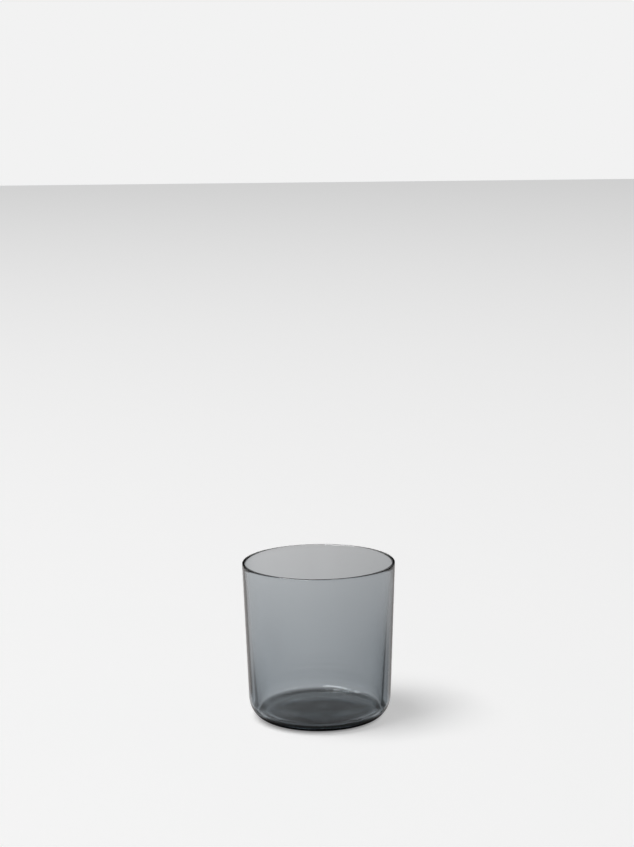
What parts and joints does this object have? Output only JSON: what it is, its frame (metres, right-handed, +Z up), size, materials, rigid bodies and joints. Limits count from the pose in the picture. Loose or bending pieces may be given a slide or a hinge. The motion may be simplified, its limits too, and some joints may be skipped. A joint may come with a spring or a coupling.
{
  "type": "whiskey tumbler",
  "caption": "Low straight-sided drinking tumbler in thin smoked clear glass, slightly wider at the rim, with walls that thicken evenly downward, a rounded heel and a slightly dished inner floor.",
  "frame": {"origin": "centre of the foot, on the surface that the glass stands on", "axes": "+Z up along the glass's axis, out of its mouth; +X and +Y are any two horizontal directions, as the glass is round"},
  "size_m": [0.08, 0.08, 0.0832],
  "materials": {
    "smoked_glass": "clear, polished, light blue-grey smoke tint through the glass"
  },
  "bodies": {
    "root": {"tumbler_glass": "smoked_glass"}
  },
  "joints": []
}
